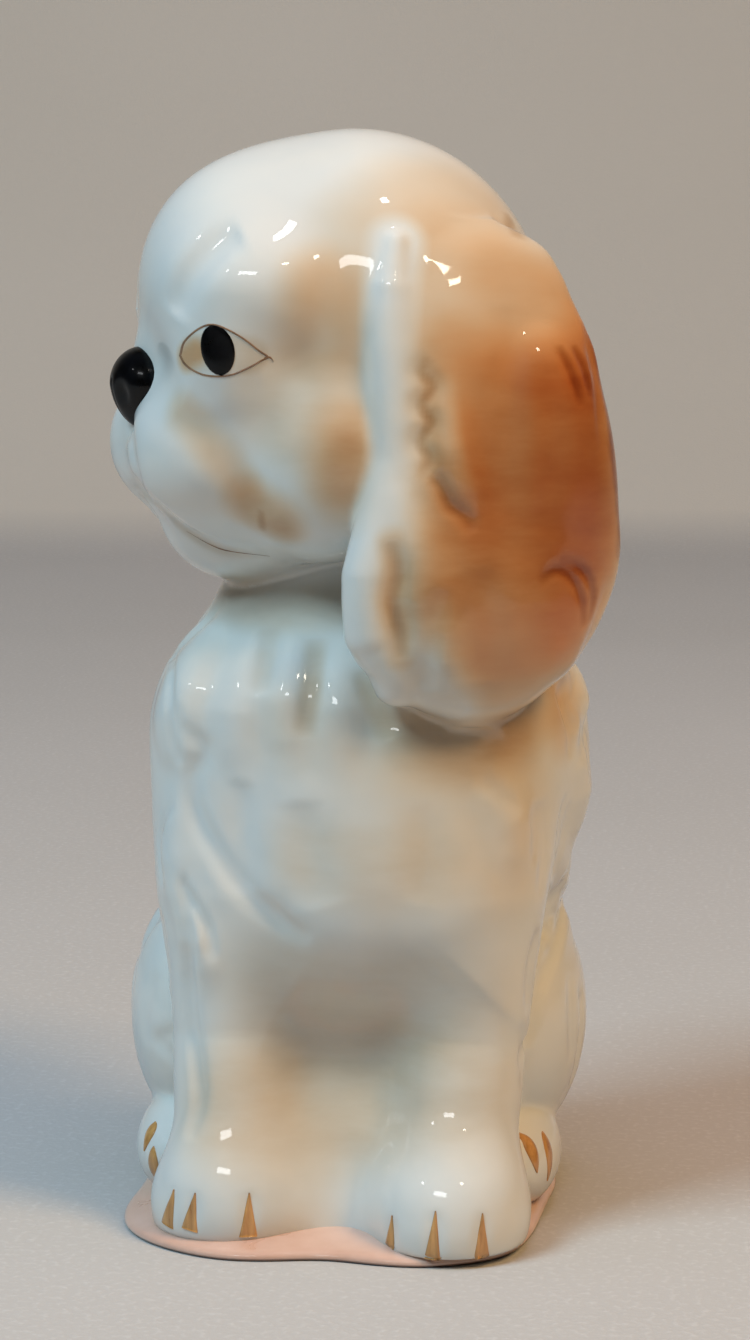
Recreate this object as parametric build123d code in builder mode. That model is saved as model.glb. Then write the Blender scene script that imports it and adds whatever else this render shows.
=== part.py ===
"""Sitting spaniel puppy figurine in glazed porcelain, 90 mm tall.

Frame: millimetres, +Z up, the dog's chest faces -Y and its left side is +X. The origin is on the
underside of the base slab, below the middle of the body. The head is turned to the dog's right.
"""

import os
from math import cos, radians, sin

from build123d import *

# ---------------------------------------------------------------- driving dimensions
SLAB_THICKNESS = 1.6
WALL = 2.6  # slip-cast wall of the torso and the head
ENAMEL = 0.22  # how far the fired-on enamel stands proud of the glaze
VENT_RADIUS = 1.5  # the hole that lets the kiln gases out of a hollow casting
VENT_CENTRE = (0.0, 7.0)
POUR_RADIUS = 6.0  # the pour hole in the torso's floor, closed by the slab
NECK_HOLE_RADIUS = 3.0  # joins the head's cavity to the torso's

HEAD_CENTRE = (-1.5, 0.5, 74.0)
HEAD_TURN = 67.0  # degrees from the chest's direction towards the dog's right
SKULL = (16.2, 14.2, 16.0)  # half length, half width, half height
SKULL_BACK = 1.6  # how far the skull's middle lies behind the head's centre
FACE = [  # along the head, across it, up, and three radii
    (5.5, 0.0, 3.2, 10.6, 11.5, 11.2),  # forehead
    (7.8, 0.0, -15.4, 7.3, 6.2, 5.6),  # chin
    (12.6, 0.0, -3.6, 4.8, 3.8, 4.6),  # bridge of the nose
]
CHEEKS = [  # the same for the lumps that both sides of the face have
    (8.8, 6.7, 3.0, 6.2, 5.6, 5.2),  # brow
    (9.6, 6.2, -1.9, 4.9, 5.5, 4.3),  # eyeball
    (3.4, 7.4, -10.2, 9.8, 6.9, 8.6),  # cheek
    (11.6, 3.9, -9.6, 6.5, 5.6, 6.2),  # lip
]
NOSE = (16.2, 0.0, -4.6, 2.9, 3.1, 3.4)

TORSO_SECTIONS = [  # height, centre x, centre y, half width, half depth
    (SLAB_THICKNESS, 0.2, 4.0, 15.0, 15.0),
    (8.0, 0.2, 4.2, 15.2, 15.8),
    (16.0, 0.3, 4.4, 15.0, 15.8),
    (24.0, 0.7, 4.0, 15.6, 15.2),
    (32.0, 1.1, 2.6, 16.4, 14.2),
    (40.0, 1.3, 1.4, 17.0, 13.0),
    (46.0, 1.2, 1.0, 16.2, 12.0),
    (51.0, 0.8, 1.2, 13.2, 10.6),
    (60.0, 0.0, 2.0, 10.5, 9.5),
]
CHEST_LUMPS = [  # x, y, z and three radii
    (0.8, -2.4, 37.0, 14.6, 11.4, 13.4),  # breast
    (0.6, -5.4, 6.0, 10.5, 8.6, 19.0),  # fills the gap between the forelegs
]
EAR_SECTIONS = [  # height, centre along the head, centre across it, half length, half thickness
    (82.4, -7.6, 11.2, 3.0, 1.2),
    (79.0, -8.0, 12.6, 6.8, 2.4),
    (73.0, -8.2, 14.4, 8.9, 3.1),
    (64.5, -9.1, 15.5, 9.5, 3.5),
    (56.5, -8.4, 15.9, 10.9, 3.7),
    (51.0, -7.8, 15.6, 10.6, 3.7),
    (47.0, -7.6, 15.0, 8.8, 3.4),
    (43.5, -7.7, 14.4, 5.4, 2.4),
    (41.6, -7.7, 14.2, 2.4, 1.2),
]
PAW_RADII = {"left": (6.6, 6.6, 5.2), "right": (6.5, 6.1, 4.8)}
PAW_HEIGHT = 3.6  # of the paw's centre
FORELEG_SECTIONS = [  # height, shift outwards, y, half width, half depth
    (SLAB_THICKNESS + 1.0, 0.0, -11.4, 5.0, 5.0),
    (10.0, 0.0, -10.6, 5.0, 4.8),
    (18.0, 0.2, -9.6, 5.2, 4.8),
    (27.0, 0.9, -7.8, 6.0, 5.2),
    (36.0, 1.6, -4.6, 5.4, 5.0),
    (44.0, 0.0, 0.0, 4.0, 4.0),
]
FORELEG_X = {"left": 9.6, "right": -8.1}
THIGH_X = {"left": 11.9, "right": -12.9}
THIGH_RADII = (6.4, 11.0, 11.4)
THIGH_CENTRE_YZ = (6.4, 15.0)
HIND_FOOT_X = {"left": 14.0, "right": -14.2}
HIND_FOOT_RADII = (3.7, 7.2, 4.2)
HIND_FOOT_CENTRE_YZ = (0.2, 4.6)
SIDE_SIGN = {"left": 1, "right": -1}
CLAW_LENGTH = 4.6
CLAW_WIDTH = 1.7
CLAW_FAN = 34.0  # degrees between the strokes on one paw
CLAW_TURN = {"left": 0.0, "right": -8.0}  # degrees from straight ahead to the middle stroke of a front paw
SEAM_TURN = 197.0  # degrees, so that no ellipsoid's seam runs along a plane of symmetry


# ---------------------------------------------------------------- shared shapes
def head_plane(along, across, up, facing=None):
    """A plane at a point given in the head's own directions: forward, to its left, and up."""
    turn = radians(HEAD_TURN)
    forward = Vector(-sin(turn), -cos(turn), 0)
    left = Vector(0, 0, 1).cross(forward)
    origin = Vector(*HEAD_CENTRE) + forward * along + left * across + Vector(0, 0, up)
    if facing is None:
        return Plane(origin=origin, x_dir=forward, z_dir=(0, 0, 1))
    outward = (forward * facing[0] + left * facing[1] + Vector(0, 0, facing[2])).normalized()
    return Plane(origin=origin, x_dir=Vector(0, 0, 1).cross(outward), z_dir=outward)


def ellipsoid(plane, radii, grow=0.0):
    """A closed ellipsoid centred on a plane, its radii along the plane's axes."""
    with BuildPart() as shape:
        Sphere(1, rotation=(0, 0, SEAM_TURN))
        scale(by=tuple(float(r + grow) for r in radii))
    return shape.part.moved(plane.location)


def upright(x, y, z):
    return Plane(origin=(x, y, z), z_dir=(0, 0, 1))


def loft_of_ellipses(sections, inset=0.0):
    """A smooth solid through level ellipses, each pulled in by the inset."""
    with BuildPart() as shape:
        for height, x, y, half_x, half_y in sections:
            with BuildSketch(Plane.XY.offset(height)):
                with Locations((x, y)):
                    Ellipse(half_x - inset, half_y - inset)
        loft()
    return shape.part


def skull_shapes(grow=0.0):
    """The skull with its brows, cheeks, lips and chin."""
    shapes = [ellipsoid(head_plane(-SKULL_BACK, 0, 0), SKULL, grow)]
    for along, across, up, *radii in FACE:
        shapes.append(ellipsoid(head_plane(along, across, up), radii, grow))
    for sign in SIDE_SIGN.values():
        for along, across, up, *radii in CHEEKS:
            shapes.append(ellipsoid(head_plane(along, sign * across, up), radii, grow))
    return shapes


def paw_plane(side):
    return upright(FORELEG_X[side], FORELEG_SECTIONS[0][2] - 0.8, PAW_HEIGHT)


def hind_foot_plane(side):
    return upright(HIND_FOOT_X[side], *HIND_FOOT_CENTRE_YZ)


def thigh_plane(side):
    return upright(THIGH_X[side], *THIGH_CENTRE_YZ)


# ---------------------------------------------------------------- base slab
def make_base_slab():
    """A thin slab under the feet, with the vent hole."""
    with BuildPart() as base_slab:
        with BuildSketch():
            with BuildLine():
                Spline(
                    (-18.7, 6),
                    (-17.8, -5),
                    (-16.2, -13),
                    (-11.4, -17.7),
                    (-6.6, -18.4),
                    (0, -17.7),
                    (7, -18.4),
                    (12.4, -17),
                    (15, -10),
                    (16.2, 0),
                    (16.4, 9),
                    (12, 18),
                    (0, 22),
                    (-13, 18.4),
                    periodic=True,
                )
            make_face()
        extrude(amount=SLAB_THICKNESS)
        rim = base_slab.faces().sort_by(Axis.Z)[-1].edges()
        fillet(rim, radius=0.6)
        with Locations(VENT_CENTRE):
            Hole(radius=VENT_RADIUS)
    return base_slab.part


def below_slab_top():
    """The space that nothing but the slab fills."""
    with BuildPart() as space:
        with BuildSketch():
            Rectangle(80, 80)
        extrude(amount=SLAB_THICKNESS)
        extrude(space.faces().sort_by(Axis.Z)[0], amount=20)
    return space.part


# ---------------------------------------------------------------- castings
def make_head():
    """Hollow skull with cheeks and muzzle, open to the neck through a small hole."""
    with BuildPart() as head:
        for shape in skull_shapes():
            add(shape)
        add(ellipsoid(head_plane(-SKULL_BACK, 0, 0), SKULL, -WALL), mode=Mode.SUBTRACT)
        with BuildSketch(Plane.XY.offset(50)):
            with Locations((0, 2)):
                Circle(NECK_HOLE_RADIUS)
        extrude(amount=12, mode=Mode.SUBTRACT)
    return head.part


def torso_shapes():
    """The outside of the chest and back."""
    return [loft_of_ellipses(TORSO_SECTIONS)] + [ellipsoid(upright(*lump[:3]), lump[3:]) for lump in CHEST_LUMPS]


def make_torso(head_space, ground):
    """Hollow chest and back, with a pour hole in its floor and a hole up into the head."""
    floor, ceiling = SLAB_THICKNESS + WALL, TORSO_SECTIONS[-2][0] - 2
    inner = [(floor, *TORSO_SECTIONS[0][1:])]
    inner += [s for s in TORSO_SECTIONS if floor < s[0] < ceiling]
    with BuildPart() as torso:
        for shape in torso_shapes():
            add(shape)
        add(ground, mode=Mode.SUBTRACT)
        add(head_space, mode=Mode.SUBTRACT)
        add(loft_of_ellipses(inner, inset=WALL), mode=Mode.SUBTRACT)
        with BuildSketch():
            with Locations(VENT_CENTRE):
                Circle(POUR_RADIUS)
        extrude(amount=floor + 1, mode=Mode.SUBTRACT)
        with BuildSketch(Plane.XY.offset(inner[-1][0] - 1)):
            with Locations((0, 2)):
                Circle(NECK_HOLE_RADIUS)
        extrude(amount=20, mode=Mode.SUBTRACT)
    return torso.part


def make_ear(side, *neighbours):
    """One solid hanging ear flap, pressed against the head."""
    plane = head_plane(0, 0, -HEAD_CENTRE[2])
    with BuildPart() as ear:
        for height, along, across, half_length, half_thickness in EAR_SECTIONS:
            with BuildSketch(plane.offset(height)):
                with Locations((along, across * SIDE_SIGN[side])):
                    Ellipse(half_length, half_thickness)
        loft()
        for neighbour in neighbours:
            add(neighbour, mode=Mode.SUBTRACT)
    return ear.part


def make_foreleg(side, *neighbours):
    """One front leg with its paw, luted to the chest."""
    sections = [
        (height, FORELEG_X[side] + SIDE_SIGN[side] * outwards, y, half_x, half_y)
        for height, outwards, y, half_x, half_y in FORELEG_SECTIONS
    ]
    with BuildPart() as foreleg:
        add(loft_of_ellipses(sections))
        add(ellipsoid(paw_plane(side), PAW_RADII[side]))
        for neighbour in neighbours:
            add(neighbour, mode=Mode.SUBTRACT)
    return foreleg.part


def make_rounded(plane, radii, *neighbours):
    """An ellipsoid lump pressed against its neighbours."""
    with BuildPart() as lump:
        add(ellipsoid(plane, radii))
        for neighbour in neighbours:
            add(neighbour, mode=Mode.SUBTRACT)
    return lump.part


# ---------------------------------------------------------------- enamel
def eye_plane(side):
    """On the face where the eye is, facing outwards."""
    sign = SIDE_SIGN[side]
    return head_plane(11.8, sign * 10.3, -1.6, facing=(0.53, sign * 0.85, 0.0))


def make_eye_line(side, skin, flesh):
    """A thin almond outline round the eye, as deep as the enamel."""
    with BuildPart() as eye_line:
        with BuildSketch(eye_plane(side)):
            Ellipse(3.8, 2.2)
            Ellipse(3.5, 1.9, mode=Mode.SUBTRACT)
        extrude(amount=3, both=True)
        add(skin, mode=Mode.INTERSECT)
        add(flesh, mode=Mode.SUBTRACT)
    return eye_line.part


def make_pupil(side, skin, flesh):
    """The black enamel of one eye, a standing oval."""
    with BuildPart() as pupil:
        with BuildSketch(eye_plane(side)):
            Ellipse(1.4, 1.85)
        extrude(amount=3, both=True)
        add(skin, mode=Mode.INTERSECT)
        add(flesh, mode=Mode.SUBTRACT)
    return pupil.part


def make_mouth_line(skin, *flesh):
    """A thin line under the lips that slopes down from the front to both corners of the mouth."""
    with BuildPart() as mouth_line:
        with BuildSketch(head_plane(12.6, 0, -16.0, facing=(-0.59, 0, 0.81))):
            Ellipse(30, 30)
        extrude(amount=0.35)
        add(skin, mode=Mode.INTERSECT)
        for neighbour in flesh:
            add(neighbour, mode=Mode.SUBTRACT)
        split(bisect_by=Plane(head_plane(6.0, 0, 0).origin, z_dir=head_plane(0, 0, 0).x_dir))
    return mouth_line.part


def make_claws(plane, radii, count, flesh, turned=0.0):
    """Tapered strokes fanned over the front of one foot, as deep as the enamel."""
    first = -CLAW_FAN * (count - 1) / 2 + turned
    with BuildPart() as claws:
        for n in range(count):
            angle = radians(first + CLAW_FAN * n)
            outward = (sin(angle), -cos(angle), 0)
            with BuildSketch(Plane(origin=plane.origin, x_dir=(cos(angle), sin(angle), 0), z_dir=outward)):
                with Locations((0, -PAW_HEIGHT / 2 + CLAW_LENGTH / 2)):
                    Trapezoid(CLAW_WIDTH, CLAW_LENGTH, 80)
            extrude(amount=20)
        add(ellipsoid(plane, radii, ENAMEL), mode=Mode.INTERSECT)
        for neighbour in flesh:
            add(neighbour, mode=Mode.SUBTRACT)
    return claws.part


# ---------------------------------------------------------------- assembly
def build():
    """Makes every piece, each cut back where an earlier one stands."""
    ground = below_slab_top()
    head = make_head()
    with BuildPart() as head_space:
        for shape in skull_shapes():
            add(shape)
    with BuildPart() as head_skin:
        for shape in skull_shapes(ENAMEL):
            add(shape)
    torso = make_torso(head_space.part, ground)
    with BuildPart() as torso_space:
        for shape in torso_shapes():
            add(shape)
    flesh = [head_space.part, torso_space.part, ground]
    pieces = {"base_slab": make_base_slab(), "head": head, "torso": torso}
    for side in SIDE_SIGN:
        pieces[f"ear_{side}"] = make_ear(side, *flesh)
        pieces[f"foreleg_{side}"] = make_foreleg(side, *flesh)
        pieces[f"thigh_{side}"] = make_rounded(
            thigh_plane(side), THIGH_RADII, pieces[f"foreleg_{side}"], *flesh
        )
        legs = [pieces[f"foreleg_{side}"], pieces[f"thigh_{side}"], *flesh]
        pieces[f"hind_foot_{side}"] = make_rounded(hind_foot_plane(side), HIND_FOOT_RADII, *legs)
        legs.append(pieces[f"hind_foot_{side}"])
        pieces[f"claws_front_{side}"] = make_claws(
            paw_plane(side), PAW_RADII[side], 3, legs, turned=CLAW_TURN[side]
        )
        pieces[f"claws_hind_{side}"] = make_claws(
            hind_foot_plane(side), HIND_FOOT_RADII, 2, legs, turned=SIDE_SIGN[side] * 20
        )
        pieces[f"pupil_{side}"] = make_pupil(side, head_skin.part, head_space.part)
        pieces[f"eye_line_{side}"] = make_eye_line(side, head_skin.part, head_space.part)
    pieces["tail"] = make_rounded(upright(5.0, 19.0, 5.4), (8.4, 3.4, 3.6), *flesh)
    pieces["nose"] = make_rounded(head_plane(*NOSE[:3]), NOSE[3:], head_space.part)
    pieces["mouth_line"] = make_mouth_line(head_skin.part, head_space.part, torso_space.part)
    return pieces


os.makedirs("parts", exist_ok=True)
for name, part in build().items():
    part.label = name
    export_step(part, f"parts/{name}.step")
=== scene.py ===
import math

import bpy
import numpy as np
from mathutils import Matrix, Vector


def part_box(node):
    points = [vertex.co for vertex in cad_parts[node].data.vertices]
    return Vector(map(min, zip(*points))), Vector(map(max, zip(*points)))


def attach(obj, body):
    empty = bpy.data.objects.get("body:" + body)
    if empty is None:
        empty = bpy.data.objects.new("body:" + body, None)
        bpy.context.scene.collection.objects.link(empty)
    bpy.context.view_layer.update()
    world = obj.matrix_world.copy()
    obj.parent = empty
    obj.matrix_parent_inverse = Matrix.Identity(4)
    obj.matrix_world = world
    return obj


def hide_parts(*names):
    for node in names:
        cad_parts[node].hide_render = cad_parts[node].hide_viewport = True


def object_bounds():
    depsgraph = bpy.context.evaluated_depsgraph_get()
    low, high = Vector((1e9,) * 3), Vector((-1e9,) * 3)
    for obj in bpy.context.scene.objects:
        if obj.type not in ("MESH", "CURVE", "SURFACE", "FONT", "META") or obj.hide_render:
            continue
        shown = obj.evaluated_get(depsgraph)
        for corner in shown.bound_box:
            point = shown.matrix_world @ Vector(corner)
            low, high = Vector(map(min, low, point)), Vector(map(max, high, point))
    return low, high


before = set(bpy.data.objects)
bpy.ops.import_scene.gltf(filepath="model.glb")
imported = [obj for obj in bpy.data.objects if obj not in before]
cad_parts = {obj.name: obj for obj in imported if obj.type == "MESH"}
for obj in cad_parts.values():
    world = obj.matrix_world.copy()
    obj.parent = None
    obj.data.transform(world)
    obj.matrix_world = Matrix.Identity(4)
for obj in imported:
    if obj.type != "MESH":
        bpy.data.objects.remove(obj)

# Glazed porcelain spaniel puppy. The figure is modelled like clay: rounded lumps are melted together as one
# signed distance, fur and folds are pressed into it, and it is cut into the frame's pieces, whose meshes meet
# point to point. Lengths are millimetres until a mesh is made. The chest faces -Y, the dog's left is +X.
cad_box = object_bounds()
MM = 0.001
SIDES = {"left": 1, "right": -1}
STEP = 0.32  # spacing of the grid that the clay lives on
FAR = 60.0  # farther than any distance that matters
NORMAL_REACH = 0.4  # the surface's direction is measured this far to each side of a place

# ---- places, from the frame
HEIGHT = float(cad_box[1][2]) / MM
SLAB_TOP = float(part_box("base_slab")[1][2]) / MM
SKULL = (16.2, 14.2, 16.0)  # radii along the head, across it and upwards
HEAD = np.array((-1.5, 0.5, HEIGHT - SKULL[2]))
HEAD_TURN = 67.0  # degrees from the chest's direction towards the dog's right
FORWARD = np.array((-math.sin(math.radians(HEAD_TURN)), -math.cos(math.radians(HEAD_TURN)), 0.0))
LEFTWARD = np.array((-FORWARD[1], FORWARD[0], 0.0))
UP = np.array((0.0, 0.0, 1.0))
VENT = (0.0, 7.0)  # middle of the hole in the base
VENT_RADIUS = 1.5

CAMERA_TURN = 8.0  # degrees towards the dog's left
CAMERA_DISTANCE = 290.0
CAMERA_HEIGHT = 88.7
CAMERA_TILT = 8.5  # degrees downwards
CAMERA_ASIDE = 1.73  # how far right of the figure's axis it stands
LENS, SENSOR = 94.5, 36.0


def view_directions(azimuth):
    """To the right of a viewer and away from them, both level, as unit vectors."""
    turn = math.radians(azimuth)
    right = np.array((math.cos(turn), math.sin(turn), 0.0))
    return right, np.array((-math.sin(turn), math.cos(turn), 0.0))


def on_head(along, across, up):
    """A point given in the head's own directions: forward, to its left, and up."""
    return HEAD + FORWARD * along + LEFTWARD * across + UP * up


# ---- clay
def melt(a, b, width):
    """The smooth union of two distances."""
    overlap = np.maximum(width - np.abs(a - b), 0) / width
    return np.minimum(a, b) - overlap * overlap * width / 4


def unit(vectors):
    return vectors / np.maximum(np.linalg.norm(vectors, axis=-1, keepdims=True), 1e-9)


def round_distance(offsets, radii):
    """About how far outside an ellipse or ellipsoid points are, from their offsets along its axes."""
    near = np.sqrt(sum((q / r) ** 2 for q, r in zip(offsets, radii)))
    steep = np.sqrt(sum((q / r**2) ** 2 for q, r in zip(offsets, radii)))
    return near * (near - 1) / np.maximum(steep, 1e-6)


def nearest_on(a, b, x, y, z):
    """For each point, how far along a straight line the nearest place is, and its distance."""
    ab = b - a
    p = (x - a[0], y - a[1], z - a[2])
    t = np.clip((p[0] * ab[0] + p[1] * ab[1] + p[2] * ab[2]) / max(ab @ ab, 1e-9), 0, 1)
    return t, np.sqrt(sum((p[k] - t * ab[k]) ** 2 for k in range(3)))


def rise(at, xs, ys):
    """A smooth curve through a few heights, as a cubic with level ends."""
    xs, ys = np.array(xs, float), np.array(ys, float)
    slopes = np.gradient(ys, xs)
    i = np.clip(np.searchsorted(xs, at) - 1, 0, len(xs) - 2)
    run = xs[i + 1] - xs[i]
    t = np.clip((at - xs[i]) / run, 0, 1)
    return (
        ys[i] * (1 + 2 * t) * (1 - t) ** 2
        + ys[i + 1] * t * t * (3 - 2 * t)
        + run * (slopes[i] * t * (1 - t) ** 2 - slopes[i + 1] * t * t * (1 - t))
    )


def smooth_line(points, per_span=6):
    """More points along a smooth line through the given ones."""
    points = np.array(points, float)
    steps = np.arange(len(points), dtype=float)
    at = np.linspace(0, len(points) - 1, (len(points) - 1) * per_span + 1)
    return np.stack([rise(at, steps, points[:, k]) for k in range(points.shape[1])], 1)


def lump(centre, radii, turn=0.0, lean=0.0):
    """An ellipsoid, leaned sideways and then turned about Z, in degrees."""
    a, b = math.radians(turn), math.radians(lean)
    about_z = np.array([[math.cos(a), -math.sin(a), 0], [math.sin(a), math.cos(a), 0], [0, 0, 1]])
    about_y = np.array([[math.cos(b), 0, math.sin(b)], [0, 1, 0], [-math.sin(b), 0, math.cos(b)]])
    axes = about_z @ about_y
    centre, radii = np.array(centre, float), np.array(radii, float)
    reach = np.sqrt(((axes * radii) ** 2).sum(1))

    def distance(x, y, z):
        p = (x - centre[0], y - centre[1], z - centre[2])
        q = [p[0] * axes[0, k] + p[1] * axes[1, k] + p[2] * axes[2, k] for k in range(3)]
        return round_distance(q, radii)

    return centre - reach, centre + reach, distance


def rod(points, radii):
    """A round limb along a few points, its thickness changing from one to the next."""
    points, radii = np.array(points, float), np.array(radii, float)

    def distance(x, y, z):
        best = FAR
        for a, b, ra, rb in zip(points, points[1:], radii, radii[1:]):
            t, away = nearest_on(a, b, x, y, z)
            best = np.minimum(best, away - (ra + t * (rb - ra)))
        return best

    return points.min(0) - radii.max(), points.max(0) + radii.max(), distance


def column(sections, turn=0.0, origin=(0.0, 0.0)):
    """A body through level ellipses: height, centre along and across, half length and half width."""
    rows = np.array(sorted(sections), float)
    cos, sin = math.cos(math.radians(turn)), math.sin(math.radians(turn))
    reach = np.abs(rows[:, 1:3]).max() + rows[:, 3:].max()

    def distance(x, y, z):
        level = rise(z.ravel(), rows[:, 0], rows[:, 0]).reshape(z.shape)
        cx, cy, rx, ry = (rise(level, rows[:, 0], rows[:, k]) for k in (1, 2, 3, 4))
        px, py = x - origin[0], y - origin[1]
        a, b = px * cos + py * sin - cx, -px * sin + py * cos - cy
        ends = np.maximum(rows[0, 0] - z, z - rows[-1, 0])
        return np.maximum(round_distance((a, b), (rx, ry)), ends)

    low = np.array((origin[0] - reach, origin[1] - reach, rows[0, 0]))
    return low, np.array((origin[0] + reach, origin[1] + reach, rows[-1, 0])), distance


class Clay:
    """The figure as a signed distance on a grid, and which piece each of its points is nearest to."""

    MARGIN = 3.0  # how far past a shape its melting reaches
    FRONT, BACK = 32.0, 30.0  # a look goes from this far before the figure's axis to this far behind it
    STRIDE = 0.4

    def __init__(self, low, high):
        self.low = np.array(low, float)
        counts = [int(math.ceil((h - l) / STEP)) + 1 for l, h in zip(low, high)]
        self.axes = [l + STEP * np.arange(n) for l, n in zip(low, counts)]
        self.distance = np.full(counts, FAR, np.float32)
        self.nearest = np.full(counts, FAR, np.float32)
        self.label = np.zeros(counts, np.uint8)
        self.names = []

    def window(self, low, high, margin):
        """The part of the grid round a box, and its coordinates."""
        spans = []
        for k in range(3):
            first = int((low[k] - margin - self.low[k]) / STEP)
            last = int((high[k] + margin - self.low[k]) / STEP) + 2
            spans.append(slice(max(first, 0), max(min(last, len(self.axes[k])), 1)))
        coordinates = np.meshgrid(*(self.axes[k][spans[k]] for k in range(3)), indexing="ij", sparse=True)
        return tuple(spans), coordinates

    def add(self, name, shapes, inner=2.0, join=1.0):
        """One piece of the figure, from shapes melted together, and then melted into the rest."""
        self.names.append(name)
        piece = np.full(self.distance.shape, FAR, np.float32)
        for low, high, distance in shapes:
            part, (x, y, z) = self.window(low, high, self.MARGIN + inner)
            piece[part] = melt(piece[part], distance(x, y, z).astype(np.float32), inner)
        low = np.min([s[0] for s in shapes], 0)
        high = np.max([s[1] for s in shapes], 0)
        part, _ = self.window(low, high, self.MARGIN + inner)
        closer = piece[part] < self.nearest[part]
        self.label[part][closer] = len(self.names)
        self.nearest[part] = np.minimum(self.nearest[part], piece[part])
        self.distance[part] = melt(self.distance[part], piece[part], join)

    def carve(self, shape):
        """Takes a shape out of the clay."""
        low, high, distance = shape
        part, (x, y, z) = self.window(low, high, 1.0)
        self.distance[part] = np.maximum(self.distance[part], -distance(x, y, z).astype(np.float32))

    def trim_below(self, height):
        """Cuts everything off level under a height."""
        below = (height - self.axes[2]).astype(np.float32)
        self.distance = np.maximum(self.distance, below[None, None, :])

    def press(self, points, depth, width, taper=0.35):
        """A groove along a line, or a ridge if the depth is negative, which thins out at its ends."""
        points = np.array(points, float)
        part, (x, y, z) = self.window(points.min(0), points.max(0), 2.5 * width)
        best = np.full(np.broadcast(x, y, z).shape, FAR, np.float32)
        along = np.zeros_like(best)
        spans = len(points) - 1
        for n, (a, b) in enumerate(zip(points, points[1:])):
            t, away = nearest_on(a, b, x, y, z)
            along = np.where(away < best, (n + t) / spans, along)
            best = np.minimum(best, away)
        ends = np.clip(np.minimum(along, 1 - along) / taper, 0, 1)
        fade = np.sin(ends * math.pi / 2) ** 0.7
        self.distance[part] += (depth * fade * np.exp(-((best / width) ** 2))).astype(np.float32)

    def lay(self, points, radii, sink=0.75, join=2.0):
        """A lock of fur along a line, sunk in by a share of its radius, and deeper at its ends."""
        points = self.settle(points)
        normal = unit(self.slope(points, NORMAL_REACH))
        radii = np.interp(np.linspace(0, 1, len(points)), np.linspace(0, 1, len(radii)), radii)
        under = radii * sink + join * (1 - radii / radii.max())
        low, high, distance = rod(points - normal * under[:, None], radii)
        part, (x, y, z) = self.window(low, high, join + STEP)
        self.distance[part] = melt(self.distance[part], distance(x, y, z).astype(np.float32), join)

    def sample(self, points):
        """The distance at any points, between the grid's own."""
        at = (np.asarray(points, float) - self.low) / STEP
        top = np.array(self.distance.shape) - 1.001
        at = np.clip(at, 0, top)
        i = at.astype(int)
        f = at - i
        total = 0
        for corner in np.ndindex(2, 2, 2):
            share = np.prod([f[..., k] if corner[k] else 1 - f[..., k] for k in range(3)], 0)
            total = total + share * self.distance[tuple(i[..., k] + corner[k] for k in range(3))]
        return total

    def slope(self, points, reach=0.5):
        """The direction in which the distance grows, and how fast."""
        grown = np.zeros(np.shape(points))
        for k in range(3):
            shift = np.zeros(3)
            shift[k] = reach
            grown[..., k] = (self.sample(points + shift) - self.sample(points - shift)) / (2 * reach)
        return grown

    def settle(self, points, rounds=3):
        """Moves points straight onto the surface."""
        points = np.array(points, float)
        for _ in range(rounds):
            grown = self.slope(points, STEP)
            size = np.maximum((grown**2).sum(-1, keepdims=True), 0.05)
            points = points - np.clip(self.sample(points)[..., None] / size * grown, -1.5, 1.5)
        return points

    def look(self, points, azimuth=CAMERA_TURN, aside=CAMERA_ASIDE):
        """Where a viewer's lines of sight to points of the upright plane through the axis meet the clay."""
        right, away = view_directions(azimuth)
        viewer = right * aside - away * CAMERA_DISTANCE + UP * CAMERA_HEIGHT
        points = np.array(points, float)
        targets = points[..., :1] * right + points[..., 1:] * UP
        rays = unit(targets - viewer)
        reach = np.arange(CAMERA_DISTANCE - self.FRONT, CAMERA_DISTANCE + self.BACK, self.STRIDE)
        places = viewer + rays[..., None, :] * reach[:, None]
        values = self.sample(places)
        inside = values < 0
        first = np.where(inside.any(-1), inside.argmax(-1), values.argmin(-1))
        now = np.take_along_axis(values, first[..., None], -1)[..., 0]
        before = np.take_along_axis(values, first[..., None] - 1, -1)[..., 0]
        back = np.where(now < 0, self.STRIDE * now / np.minimum(now - before, -1e-6), 0)
        return self.settle(viewer + rays * (reach[first] - back)[..., None])


def mirrored(points):
    """The same places on the other side of the head."""
    across = (np.asarray(points) - HEAD) @ LEFTWARD
    return points - 2 * across[..., None] * LEFTWARD


def seen(clay, line, flip=False, per_span=6):
    """Where the camera sees a line on the surface, or the twins of these places, not yet settled on it."""
    places = clay.look(smooth_line(line, per_span))
    return mirrored(places) if flip else places


def on_side(clay, line, side, per_span=6):
    """A line that the camera sees on the dog's left, or its twin on the surface of the right side."""
    if side == "left":
        return seen(clay, line, False, per_span)
    return clay.settle(seen(clay, line, True, per_span))


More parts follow.
